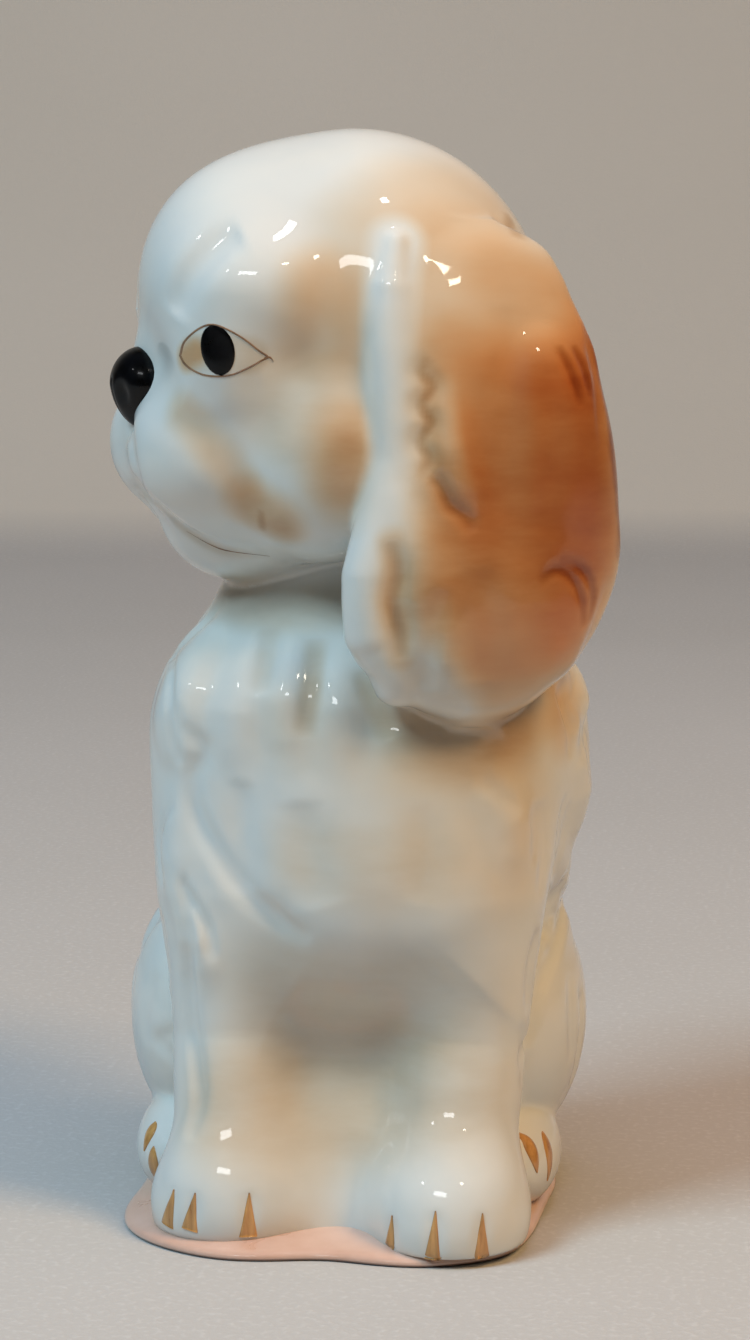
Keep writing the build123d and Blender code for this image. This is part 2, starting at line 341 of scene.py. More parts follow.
# ---- the figure's lumps
TORSO = [  # height, centre x, centre y, half width, half depth
    (0.6, 0.0, 3.0, 15.6, 16.2),
    (8.0, 0.1, 4.4, 15.6, 15.4),
    (14.0, 0.3, 5.4, 15.2, 14.4),
    (20.0, 0.5, 5.0, 15.2, 14.6),
    (26.0, 0.8, 4.2, 15.8, 14.4),
    (32.0, 1.1, 2.8, 16.4, 13.8),
    (40.0, 1.3, 1.4, 17.0, 13.0),
    (46.0, 1.2, 1.0, 16.2, 12.0),
    (50.0, 0.8, 1.2, 13.4, 10.4),
    (53.5, 0.2, 2.4, 11.2, 8.2),
    (60.0, -0.4, 2.6, 10.2, 8.0),
]
EAR = [  # height, centre along the head, centre across it, half length, half thickness
    (82.8, -7.6, 11.0, 2.4, 1.0),
    (81.0, -8.0, 11.9, 5.4, 2.0),
    (78.6, -7.9, 12.8, 7.2, 2.5),
    (76.5, -7.5, 13.4, 8.4, 2.8),
    (73.0, -8.2, 14.4, 9.1, 3.0),
    (68.5, -8.65, 15.0, 9.4, 3.2),
    (64.5, -9.1, 15.5, 9.5, 3.3),
    (60.5, -8.8, 15.8, 10.2, 3.5),
    (56.5, -8.4, 15.9, 10.9, 3.7),
    (52.5, -7.7, 15.8, 10.7, 3.8),
    (49.0, -7.2, 15.4, 9.2, 3.8),
    (46.0, -7.2, 15.0, 6.8, 3.5),
    (44.0, -7.2, 14.8, 4.2, 2.7),
    (43.0, -7.2, 14.6, 1.8, 1.4),
]
EAR_EDGE = [  # the rounded front edge of the flap: along, across and up from the head's centre, and radius
    (-1.4, 13.2, 7.0, 0.8),
    (-0.8, 14.0, 3.5, 1.5),
    (-0.7, 14.5, -1.0, 1.7),
    (-0.9, 14.9, -5.5, 1.7),
    (-0.7, 15.3, -10.0, 1.8),
    (0.3, 15.6, -14.5, 2.1),
    (1.2, 15.8, -19.0, 2.4),
    (1.0, 15.8, -23.5, 2.4),
    (-0.9, 15.4, -27.5, 2.0),
]


def mould_torso(clay):
    clay.add(
        "torso",
        [
            column(TORSO),
            lump((0.8, -2.4, 35.0), (14.4, 11.8, 14.0)),
            lump((1.6, -4.4, 29.5), (12.6, 10.2, 7.2)),
            lump((-2.8, -2.2, 43.2), (10.8, 9.4, 7.2)),
            lump((-11.4, -3.2, 41.4), (4.0, 5.6, 7.0), lean=8),
            lump((-11.8, -1.0, 30.5), (3.4, 6.4, 8.0), lean=-2),
            lump((0.8, -3.2, 24.5), (12.6, 9.6, 8.6)),
            lump((0.2, 12.5, 14.0), (14.0, 9.5, 13.0)),
            lump((12.6, 4.0, 38.0), (6.4, 9.0, 12.0)),
        ],
        inner=3.4,
    )


def mould_head(clay):
    def add(along, across, up, radii):
        shapes.append(lump(on_head(along, across, up), radii, turn=HEAD_TURN + 90))

    shapes = []
    add(-1.6, 0, 0, SKULL)
    add(5.5, 0, 3.2, (10.6, 11.5, 11.2))
    add(12.6, 0, -3.6, (4.8, 3.8, 4.6))
    add(7.8, 0, -15.4, (7.3, 6.2, 5.6))
    for side in SIDES.values():
        add(8.7, side * 6.2, 2.9, (7.2, 6.3, 5.6))
        add(9.6, side * 6.2, -1.9, (4.9, 5.5, 4.3))
        add(9.4, side * 6.3, -4.6, (4.4, 5.1, 3.2))
        add(3.4, side * 7.4, -10.2, (9.8, 6.9, 8.6))
        add(11.9, side * 3.8, -9.6, (6.7, 5.6, 6.2))
    clay.add("head", shapes, inner=2.6, join=1.6)


def mould_ear(clay, side):
    sign = SIDES[side]
    flap = [(z, along, sign * across, a, b) for z, along, across, a, b in EAR]
    edge = [on_head(along, sign * across, up) for along, across, up, _ in EAR_EDGE]
    turn = math.degrees(math.atan2(FORWARD[1], FORWARD[0]))
    clay.add(
        f"ear_{side}",
        [
            column(flap, turn=turn, origin=HEAD[:2]),
            lump(on_head(-8.8, sign * 16.2, -21.4), (8.4, 4.4, 7.6), turn=turn),
            lump(on_head(-12.5, sign * 16.0, -12.0), (6.0, 3.8, 12.0), turn=turn),
            rod(edge, [r for *_, r in EAR_EDGE]),
        ],
        inner=1.3,
        join=0.7,
    )


FORELEG = [  # distance from the middle, y, z and radius down a leg
    (10.6, -4.0, 40.0, 5.6),
    (10.6, -6.4, 28.0, 5.6),
    (10.2, -6.9, 16.0, 5.2),
    (9.5, -10.7, 5.0, 5.0),
]
PAWS = {"left": ((9.7, -12.4, 2.6), (6.4, 6.7, 6.5)), "right": ((-8.6, -11.2, 2.4), (6.6, 6.0, 5.8))}


def mould_legs(clay, side):
    sign = SIDES[side]
    inwards = 0.6 - 0.6 * sign  # the right leg stands a little nearer the middle
    leg = [(sign * x + inwards, y, z) for x, y, z, _ in FORELEG]
    shapes = [rod(leg, [r for *_, r in FORELEG]), lump(*PAWS[side])]
    clay.add(f"foreleg_{side}", shapes, inner=3.4, join=4.2)
    clay.add(f"thigh_{side}", [lump((sign * 12.9 - 0.6, 6.4, 15.0), (6.8, 11.0, 11.2))], join=1.0)
    foot = lump((sign * 14.3 - 0.5, 0.0, 4.6), (3.8, 7.4, 4.4))
    clay.add(f"hind_foot_{side}", [foot], join=0.8)


def hollow_out(clay):
    """The space that slip casting leaves inside, open through the vent in the base."""
    clay.carve(lump((VENT[0], VENT[1] - 1.5, 20.0), (8.6, 8.0, 15.0)))
    clay.carve(rod([(*VENT, -2.0), (*VENT, 8.0)], [VENT_RADIUS, VENT_RADIUS]))


def mould_tail(clay):
    curl = [
        (-6.0, 17.4, 4.6), (-2.5, 19.3, 4.6), (1.5, 20.3, 4.5),
        (5.5, 19.9, 4.2), (9.0, 17.6, 3.8), (11.0, 15.0, 3.4),
    ]
    clay.add("tail", [rod(curl, [1.6, 2.5, 3.0, 3.0, 2.4, 1.6])], join=2.0)


# ---- folds, grooves and locks of fur
# Lines that the camera sees lie in the upright plane through the figure's axis: rightwards and up.
BROW = [(-9.2, 81.4), (-11.3, 80.6), (-13.1, 78.8), (-14.3, 76.7), (-14.7, 74.8)]
PHILTRUM = [(-18.6, 66.3), (-18.4, 63.3), (-17.8, 60.6)]
MOUTH = [(-18.3, 60.9), (-16.2, 59.1), (-13.9, 57.0), (-11.8, 55.8), (-10.2, 55.3), (-7.0, 54.9)]
TEAR_FOLD = [(-14.2, 67.4), (-12.3, 65.0), (-9.2, 60.7), (-7.6, 57.9)]
UNDER_EYE = [(-13.7, 69.1), (-10.6, 68.4), (-7.6, 69.5)]
EAR_GROOVE = [
    (6.3, 71.3), (5.4, 70.2), (6.4, 68.9), (5.5, 67.4), (6.3, 66.0), (5.4, 64.4), (6.1, 63.0), (5.2, 61.4),
]
EAR_RIDGE = [(7.6, 70.0), (7.9, 65.4), (8.7, 62.1), (10.1, 58.9)]
EAR_SPLIT = [(6.4, 61.6), (7.2, 60.8), (7.9, 59.2), (9.1, 58.3), (9.9, 57.0)]
LOCK_GROOVE = [(3.0, 56.2), (3.5, 53.6), (3.1, 51.2), (3.8, 48.6), (3.9, 46.4)]
EAR_CURLS = [
    [(15.3, 52.7), (16.7, 53.8), (18.1, 53.1), (19.0, 51.2), (19.1, 48.9)],
    [(17.0, 54.6), (18.9, 53.9), (19.9, 52.0), (19.6, 49.4)],
    [(16.8, 72.4), (18.0, 69.9), (18.8, 67.4)],
    [(18.0, 72.4), (19.0, 70.3), (19.6, 68.0)],
]
EAR_RIM = [(1.6, 46.6), (4.2, 44.0), (7.1, 42.0), (9.8, 41.4), (12.8, 42.4), (15.4, 44.6), (17.6, 48.0)]
APRON_EDGE = [(-13.5, 38.6), (-13.4, 33.9), (-11.7, 30.0), (-9.2, 26.6), (-6.2, 24.0), (-3.6, 22.3)]
APRON_HEM = [(-6.0, 24.6), (-2.0, 23.0), (3.0, 22.6), (8.0, 23.6), (12.5, 26.2)]
CHEST_FURROWS = [
    [(-7.1, 48.9), (-7.4, 46.0), (-7.8, 43.4)],
    [(-3.1, 48.0), (-3.6, 43.7), (-4.3, 39.6)],
    [(0.7, 45.4), (1.7, 42.4), (3.1, 39.6)],
]
LEFT_LEG_EDGE = [(17.6, 26.8), (17.6, 24.7), (17.0, 21.6), (15.7, 18.4), (14.9, 14.5), (13.9, 11.1)]
RIGHT_LEG_EDGE = [(-14.5, 28.4), (-14.2, 22.3), (-14.0, 17.1), (-13.5, 11.9), (-13.3, 8.4), (-14.1, 5.0)]
UNDER_APRON = [(-6.0, 16.8), (-1.0, 14.8), (4.0, 14.6), (8.4, 15.6), (10.8, 18.0)]
CLAWS = {  # tip and foot of each stroke
    "front_left": [((3.2, -1.7), (3.0, -5.6)), ((6.9, -1.3), (6.6, -6.2)), ((10.9, -1.5), (10.8, -5.9))],
    "front_right": [
        ((-15.4, 0.6), (-16.0, -2.6)), ((-13.6, 0.3), (-14.1, -3.0)), ((-9.0, 0.3), (-9.1, -3.6)),
    ],
    "hind_left": [((14.8, 6.2), (15.2, 2.2)), ((17.0, 6.4), (16.0, 1.6))],
    "hind_right": [((-17.5, 7.2), (-17.3, 4.0)), ((-17.2, 4.4), (-17.1, 0.9))],
}
LOCKS = [  # raised locks of fur on the front of the body: line and thickest radius
    ([(-12.6, 48.2), (-14.6, 45.0), (-15.4, 41.8), (-15.2, 39.2), (-14.2, 37.2)], 1.7),
    ([(-11.7, 48.9), (-13.0, 45.5), (-13.7, 42.0), (-13.5, 39.0)], 1.7),
    ([(-8.6, 47.9), (-9.6, 43.7), (-10.1, 39.9), (-9.4, 36.3)], 1.9),
    ([(-5.1, 47.9), (-5.6, 42.8), (-5.3, 37.6)], 1.8),
    ([(-1.2, 47.0), (-1.6, 42.0), (-1.2, 36.7)], 1.9),
    ([(-14.7, 35.2), (-15.2, 31.4), (-15.0, 27.5), (-14.5, 24.0)], 1.3),
    ([(-14.3, 25.8), (-13.4, 22.3), (-12.7, 18.3)], 1.2),
    ([(18.2, 45.8), (18.9, 42.8), (18.0, 40.0)], 1.3),
    ([(18.7, 39.4), (19.1, 35.2), (18.4, 30.5)], 1.5),
    ([(17.4, 30.1), (17.5, 26.6), (17.0, 23.2), (16.0, 20.2)], 1.4),
    ([(11.0, 36.5), (13.2, 32.5), (13.6, 28.0)], 1.8),
]
HAIRS = [  # finer grooves: line, depth and width
    ([(-15.0, 47.5), (-15.4, 43.7), (-15.3, 39.9), (-14.6, 37.3)], 0.5, 0.45),
    ([(-14.7, 27.5), (-13.5, 25.3), (-12.5, 23.2), (-12.1, 20.6)], 0.5, 0.5),
    ([(15.7, 34.3), (16.0, 30.1), (15.6, 25.8)], 0.35, 0.9),
    ([(-9.4, 36.0), (-9.6, 30.9), (-8.6, 26.6)], 0.4, 1.4),
    ([(-4.5, 34.3), (-4.0, 29.2), (-2.8, 25.3)], 0.45, 2.0),
    ([(17.0, 43.7), (17.8, 41.8), (18.6, 40.3)], 0.45, 0.5),
    ([(5.5, 34.0), (6.2, 29.5), (5.6, 25.5)], 0.25, 1.6),
]


HEAD_FOLDS = [  # line, depth, width, and the share over which it thins out at its ends, if unusual
    (BROW, 1.1, 1.5, 0.5),
    (MOUTH, 0.35, 0.8, 0.3),
    (TEAR_FOLD, 0.35, 1.8),
    (UNDER_EYE, 0.18, 1.3),
]


def press_head(clay):
    for flip in (False, True):
        lines = [(seen(clay, line, flip), *rest) for line, *rest in HEAD_FOLDS]
        for places, *groove in lines:
            clay.press(clay.settle(places), *groove)
    clay.press(seen(clay, PHILTRUM), 0.4, 0.9, taper=0.15)


EAR_LOCKS = [  # raised locks on the ear: line and thickest radius
    ([(3.9, 59.6), (5.2, 55.6), (5.9, 51.2), (5.3, 47.4), (4.0, 43.4)], 2.0),
    ([(7.6, 50.0), (7.3, 46.0), (8.3, 42.6)], 1.7),
    (EAR_RIDGE, 1.2),
]
EAR_FURROWS = [  # line, depth, width, and the share over which it thins out at its ends, if unusual
    ([(12.5, 75.6), (13.0, 67.2), (12.4, 57.6)], 0.3, 1.5),
    ([(15.9, 70.9), (16.6, 64.1), (16.0, 56.3)], 0.3, 1.3),
    ([(7.1, 52.2), (6.5, 47.9), (6.0, 43.9)], 0.4, 1.0),
    ([(10.5, 54.0), (11.5, 49.0), (11.2, 44.5)], 0.3, 1.4),
    ([(19.0, 74.0), (20.0, 69.0), (20.6, 63.0)], 0.3, 0.5),
    (EAR_GROOVE, 0.35, 0.9),
    (EAR_SPLIT, 0.4, 0.6),
    (LOCK_GROOVE, 0.6, 1.0, 0.5),
    (EAR_RIM, -0.2, 1.3, 0.15),
    *((curl, 0.25, 0.45) for curl in EAR_CURLS),
]


def press_ears(clay):
    work = []
    for flip in (False, True):
        work += [(seen(clay, line, flip), radius) for line, radius in EAR_LOCKS]
        work += [(seen(clay, line, flip), *groove) for line, *groove in EAR_FURROWS]
    for places, amount, *groove in work:
        if groove:
            clay.press(clay.settle(places), amount, *groove)
        else:
            clay.lay(places, amount * np.array((0.35, 0.8, 1.0, 0.9, 0.3)), join=1.8)


def press_body(clay):
    for line, radius in LOCKS:
        radii = radius * np.array((0.4, 0.85, 1.0, 0.8, 0.3))
        clay.lay(seen(clay, line), radii)
    lines = [
        (UNDER_APRON, 0.6, 4.6),
        (APRON_EDGE, 0.6, 0.9),
        (APRON_HEM, -0.25, 2.4),
        (LEFT_LEG_EDGE, 0.7, 0.6),
        (RIGHT_LEG_EDGE, 0.7, 0.7),
    ]
    lines += [(furrow, 0.4, 1.3) for furrow in CHEST_FURROWS] + HAIRS
    for line, depth, width in lines:
        clay.press(seen(clay, line), depth, width)
    for strokes in (CLAWS["front_left"], CLAWS["front_right"]):
        for tip, foot in strokes:
            clay.press(seen(clay, [tip, foot]), 0.3, 0.6, taper=0.6)


def comb_fur(clay, seed=7):
    """Short locks in rows down the back, the far side and the haunches, where nothing is known of the fur."""
    chance = np.random.default_rng(seed)
    bend = 3.0  # a lock with a longer gap than this between its points runs off an edge and is left out
    for azimuth in range(90, 271, 20):
        for start in (50.0, 41.0, 32.0, 23.0, 14.0):
            for u in (-9.5, -3.2, 3.2, 9.5):
                aside = u + chance.uniform(-1.6, 1.6)
                top = start + chance.uniform(-2.0, 2.0)
                length, swing = chance.uniform(5.0, 8.5), chance.uniform(-1.6, 1.6)
                line = [(aside, top), (aside + swing, top - length / 2), (aside + 0.4 * swing, top - length)]
                places = clay.look(smooth_line(line, 4), azimuth=azimuth, aside=0.0)
                if np.abs(np.diff(places, axis=0)).max() < bend:
                    clay.press(places, chance.uniform(0.2, 0.45), chance.uniform(0.45, 0.9))


# ---- meshes
def link(name, data):
    made = bpy.data.objects.new(name, data)
    bpy.context.scene.collection.objects.link(made)
    return made


def surface_nets(clay):
    """One point in each cell where pieces meet or end, its normal, and for each piece its triangles and
    which of them are hidden inside the figure."""
    solid = np.where(clay.distance < 0, clay.label, 0).astype(np.uint8)
    corners = [
        solid[i : solid.shape[0] - 1 + i, j : solid.shape[1] - 1 + j, k : solid.shape[2] - 1 + k]
        for i, j, k in np.ndindex(2, 2, 2)
    ]
    low, high = corners[0].copy(), corners[0].copy()
    for corner in corners[1:]:
        np.minimum(low, corner, out=low)
        np.maximum(high, corner, out=high)
    mixed = low != high
    cells = np.argwhere(mixed)
    index = np.full(mixed.shape, -1, np.int32)
    index[mixed] = np.arange(len(cells))
    total, count = np.zeros((len(cells), 3)), np.zeros(len(cells))
    for axis in range(3):
        for b, c in np.ndindex(2, 2):
            start = cells.copy()
            start[:, (axis + 1) % 3] += b
            start[:, (axis + 2) % 3] += c
            end = start.copy()
            end[:, axis] += 1
            d0, d1 = clay.distance[tuple(start.T)], clay.distance[tuple(end.T)]
            crosses = (d0 < 0) != (d1 < 0)
            t = np.where(crosses, d0 / np.where(crosses, d0 - d1, 1), 0)
            place = start.astype(float)
            place[:, axis] += t
            total[crosses] += place[crosses]
            count += crosses
    outer = count > 0
    places = np.where(outer[:, None], total / np.maximum(count, 1)[:, None], cells + 0.5)
    points = clay.low + STEP * places
    points[outer] = clay.settle(points[outer], rounds=2)
    normals = np.zeros_like(points)
    normals[outer] = unit(clay.slope(points[outer], NORMAL_REACH))
    triangles = {n + 1: [] for n in range(len(clay.names))}
    hidden = {n + 1: [] for n in range(len(clay.names))}
    for axis in range(3):
        a, b = np.moveaxis(solid, axis, 0)[:-1], np.moveaxis(solid, axis, 0)[1:]
        edges = np.argwhere(np.moveaxis(a != b, 0, axis))
        one = solid[tuple(edges.T)]
        ahead = edges.copy()
        ahead[:, axis] += 1
        other = solid[tuple(ahead.T)]
        quad = []
        for db, dc in ((-1, -1), (0, -1), (0, 0), (-1, 0)):
            cell = edges.copy()
            cell[:, (axis + 1) % 3] += db
            cell[:, (axis + 2) % 3] += dc
            quad.append(index[tuple(cell.T)])
        quad = np.stack(quad, 1)
        inside = (one > 0) & (other > 0)
        deepest = outer[quad].argmin(1)  # a border's faces fan out from a buried point
        turned = (deepest[:, None] + np.arange(4)) % 4
        quad = np.where(inside[:, None], np.take_along_axis(quad, turned, 1), quad)
        for number in triangles:
            for facing, order in ((one == number, (0, 1, 2, 3)), (other == number, (0, 3, 2, 1))):
                four = quad[facing][:, order]
                triangles[number] += [four[:, [0, 1, 2]], four[:, [0, 2, 3]]]
                hidden[number] += [inside[facing]] * 2
    pieces = {}
    for number, name in enumerate(clay.names, 1):
        pieces[name] = np.concatenate(triangles[number]), np.concatenate(hidden[number])
    return points, normals, pieces


def make_mesh(name, points, faces, material, normals=None, paint=None):
    """A smooth mesh object from arrays, points in millimetres. Normals are one for each face's corner."""
    mesh = bpy.data.meshes.new(name)
    sides = faces.shape[1]
    mesh.vertices.add(len(points))
    mesh.vertices.foreach_set("co", (np.asarray(points) * MM).astype(np.float32).ravel())
    mesh.loops.add(faces.size)
    mesh.loops.foreach_set("vertex_index", faces.astype(np.int32).ravel())
    mesh.polygons.add(len(faces))
    mesh.polygons.foreach_set("loop_start", np.arange(0, faces.size, sides, dtype=np.int32))
    mesh.polygons.foreach_set("use_smooth", np.ones(len(faces), bool))
    mesh.update(calc_edges=True)
    if paint is not None:
        layer = mesh.attributes.new("paint", "FLOAT_COLOR", "POINT")
        layer.data.foreach_set("color", paint.astype(np.float32).ravel())
    if normals is not None:
        mesh.normals_split_custom_set(normals.reshape(-1, 3).astype(np.float32))
    mesh.materials.append(material)
    return link(name, mesh)


def ring_faces(rows, columns, closed=False):
    """The four-sided faces between rows of points, each row a ring. The last row may meet the first."""
    faces = []
    for i in range(rows if closed else rows - 1):
        here, ahead = i * columns, (i + 1) % rows * columns
        for j in range(columns):
            k = (j + 1) % columns
            faces.append((here + j, ahead + j, ahead + k, here + k))
    return faces


def stand_in(piece, node):
    """The piece takes a CAD node's place."""
    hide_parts(node)
    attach(piece, "root")


# ---- enamel strokes
STROKE_SINK = 0.2  # how deep the underside of a stroke lies in the clay


def stroke_mesh(clay, line, widths, height=0.06, closed=False, columns=7):
    """One brush stroke that lies on the surface: a thin closed strip, domed across."""
    line = clay.settle(line)
    if closed:
        tangent = np.roll(line, -1, 0) - np.roll(line, 1, 0)
    else:
        tangent = np.gradient(line, axis=0)
    side = unit(np.cross(unit(clay.slope(line, NORMAL_REACH)), tangent))
    across = np.linspace(-1, 1, columns)
    base = line[:, None] + side[:, None] * (np.array(widths)[:, None] * across)[..., None]
    base = clay.settle(base)
    outward = unit(clay.slope(base, NORMAL_REACH))
    dome = height * (0.35 + 0.65 * np.sqrt(1 - across**2))
    top = base + outward * dome[None, :, None]
    bottom = base - outward * STROKE_SINK
    rings = np.concatenate([top, bottom[:, ::-1]], 1)
    count, size = rings.shape[:2]
    faces = ring_faces(count, size, closed)
    if not closed:
        for end, flip in ((0, 1), (count - 1, 0)):
            for j in range(columns - 1):
                quad = [end * size + k for k in (j, j + 1, size - 2 - j, size - 1 - j)]
                faces.append(tuple(quad[::-1] if flip else quad))
    return rings.reshape(-1, 3), np.array(faces)


def join_meshes(meshes):
    """Several meshes' arrays as one."""
    points, faces, start = [], [], 0
    for p, f in meshes:
        points.append(p)
        faces.append(f + start)
        start += len(p)
    return np.concatenate(points), np.concatenate(faces)


def tapered(count, width, start, end):
    """Half widths that thin out over a share of the stroke at its start and its end."""
    t = np.linspace(0, 1, count)
    return width * np.clip(np.minimum(t / start, (1 - t) / end), 0.12, 1)


EYE_TOP = [
    (-14.3, 71.5), (-13.9, 72.7), (-12.6, 73.8), (-11.3, 74.0), (-9.4, 73.1), (-7.8, 71.9), (-7.1, 71.4),
]
EYE_BOTTOM = [(-7.6, 71.1), (-8.7, 70.5), (-10.0, 69.95), (-11.3, 69.8), (-12.6, 70.0), (-13.8, 70.7)]
EYE_FLICK = [(-7.4, 71.3), (-6.9, 71.35), (-6.6, 71.0)]
PUPIL = [(-11.75, 74.0), (-11.5, 73.0), (-11.25, 72.0), (-11.05, 71.0), (-10.85, 69.9)]
PUPIL_WIDTH = 1.4


def paint_on(node, strokes, material):
    """Strokes as one piece in a CAD node's place."""
    stand_in(make_mesh(f"{node}_painted", *join_meshes(strokes), material), node)


def paint_eyes(clay, materials):
    for side in SIDES:
        outline = on_side(clay, EYE_TOP + EYE_BOTTOM + EYE_TOP[:1], side)[:-1]
        corner = np.linalg.norm(outline - outline[0], axis=1)  # the inner corner is drawn more heavily
        flick = on_side(clay, EYE_FLICK, side)
        strokes = [
            stroke_mesh(clay, outline, 0.075 + 0.07 * np.exp(-((corner / 1.3) ** 2)), closed=True),
            stroke_mesh(clay, flick, tapered(len(flick), 0.09, 0.1, 0.6)),
        ]
        paint_on(f"eye_line_{side}", strokes, materials["brown"])
        pupil = on_side(clay, PUPIL, side)
        oval = np.sqrt(np.clip(1 - np.linspace(-1, 1, len(pupil)) ** 2, 0.005, 1))
        pupil = stroke_mesh(clay, pupil, PUPIL_WIDTH * oval, height=0.1, columns=13)
        paint_on(f"pupil_{side}", [pupil], materials["black"])


def paint_mouth(clay, materials):
    strokes = []
    for side in SIDES:
        line = on_side(clay, MOUTH[2:], side)
        strokes.append(stroke_mesh(clay, line, tapered(len(line), 0.06, 0.5, 0.4), height=0.02))
    paint_on("mouth_line", strokes, materials["brown"])


def beside(clay, line):
    """A short line's places: its middle where the camera sees it, and the rest on the same piece."""
    right, _ = view_directions(CAMERA_TURN)
    middle = np.mean(line, 0)
    shift = line - middle
    return clay.settle(clay.look(middle[None]) + shift[:, :1] * right + shift[:, 1:] * UP, rounds=6)


def paint_claws(clay, materials):
    """Drops that widen towards the sole on the front paws, and leaf shapes on the hind feet."""
    for name, claws in CLAWS.items():
        leaf = name.startswith("hind")
        strokes = []
        for tip, foot in claws:
            middle = tuple((a + b) / 2 for a, b in zip(tip, foot))
            line = smooth_line([tip, middle, foot], 8)
            line = beside(clay, line) if leaf else clay.look(line)
            t = np.linspace(0, 1, len(line))
            widths = 0.6 * np.sin(math.pi * t) ** 0.8 + 0.03 if leaf else 0.05 + 0.7 * t
            strokes.append(stroke_mesh(clay, line, widths, height=0.1))
        paint_on(f"claws_{name}", strokes, materials["amber"])


# ---- nose
def make_nose(materials):
    """A glossy pad with two nostrils that runs down to a point between the lips."""
    rows, columns = 48, 72
    centre = on_head(16.3, 0, -4.6)
    angles = np.linspace(0, math.pi, rows), np.arange(columns) * 2 * math.pi / columns
    down, around = np.meshgrid(*angles, indexing="ij")
    ahead, aside, up = np.sin(down) * np.cos(around), np.sin(down) * np.sin(around), np.cos(down)
    below = np.clip(-up, 0, 1)
    length = 2.7 - 0.4 * below
    width = 3.2 * (1 - 0.55 * below**1.6)
    height = np.where(up > 0, 3.1, 3.6)
    nostril = np.exp(-(((np.abs(aside) - 0.55) / 0.22) ** 2) - ((up + 0.15) / 0.3) ** 2)
    length = length - 0.55 * nostril * (ahead > 0)
    groove = np.exp(-((aside / 0.09) ** 2)) * (up < 0.2) * (ahead > 0)
    length = length - 0.25 * groove
    local = np.stack([ahead * length, aside * width, up * height], -1)
    points = centre + local[..., :1] * FORWARD + local[..., 1:2] * LEFTWARD + local[..., 2:] * UP
    faces = np.array(ring_faces(rows, columns))
    nose = make_mesh("nose_glazed", points.reshape(-1, 3), faces, materials["black"])
    stand_in(nose, "nose")


# ---- base slab
SLAB_SECTION = [  # share of the way from the rim to the vent, and height, of which SECTION_TOP is the top
    (0.02, 0.0), (0.004, 0.08), (0.0, 0.3), (0.004, 0.55), (0.016, 0.74), (0.04, 0.9), (0.08, 1.1),
    (0.14, 1.35), (0.22, 1.55), (0.5, 1.6), (0.85, 1.6), (1.0, 1.5),
    (1.0, 0.8), (1.0, 0.1), (0.97, 0.0), (0.5, 0.0), (0.2, 0.0),
]
SECTION_TOP = 1.6
RIM_SHARE = 0.1  # the part of the section that is uneven
RIM_POINTS = 180


def make_slab(materials):
    """A thin sheet of clay under the feet with a soft uneven rim and the vent hole."""
    corners = np.array([v.co[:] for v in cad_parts["base_slab"].data.vertices]) / MM
    vent = np.array(VENT)
    angles = np.arange(RIM_POINTS) * 2 * math.pi / RIM_POINTS
    spread = corners[:, :2] - vent
    heading = np.arctan2(spread[:, 1], spread[:, 0]) % (2 * math.pi)
    reach = np.linalg.norm(spread, axis=1)
    rim = np.zeros(RIM_POINTS)
    half_slice = 0.06  # radians to each side of a heading, in which the CAD slab's rim is found
    for i, angle in enumerate(angles):
        near = np.abs((heading - angle + math.pi) % (2 * math.pi) - math.pi) < half_slice
        rim[i] = reach[near].max() if near.any() else 0
    rim = np.convolve(np.concatenate([rim[-2:], rim, rim[:2]]), np.ones(5) / 5, "valid")
    wobble = 0.12 * np.sin(5 * angles + 1) + 0.08 * np.sin(11 * angles)
    rows = []
    for share, height in SLAB_SECTION:
        radius = (rim - wobble * (share < RIM_SHARE)) * (1 - share) + VENT_RADIUS * share
        x, y = vent[0] + radius * np.cos(angles), vent[1] + radius * np.sin(angles)
        rows.append(np.stack([x, y, np.full(RIM_POINTS, height * SLAB_TOP / SECTION_TOP)], 1))
    faces = np.array(ring_faces(len(rows), RIM_POINTS, closed=True))[:, [0, 3, 2, 1]]
    slab = make_mesh("base_slab_glazed", np.concatenate(rows), faces, materials["slab"])
    stand_in(slab, "base_slab")


# ---- airbrushed colour, with painted shade and painted warm light among it
def near_line(points, line):
    """The distance of each point to a line, and how far along it the nearest place is."""
    best, along = np.full(len(points), FAR), np.zeros(len(points))
    for n, (a, b) in enumerate(zip(line, line[1:])):
        ab = b - a
        t = np.clip((points - a) @ ab / max(ab @ ab, 1e-9), 0, 1)
        away = np.linalg.norm(points - a - t[:, None] * ab, axis=1)
        along = np.where(away < best, (n + t) / (len(line) - 1), along)
        best = np.minimum(best, away)
    return best, along


ORANGE, BROWN = 0, 1
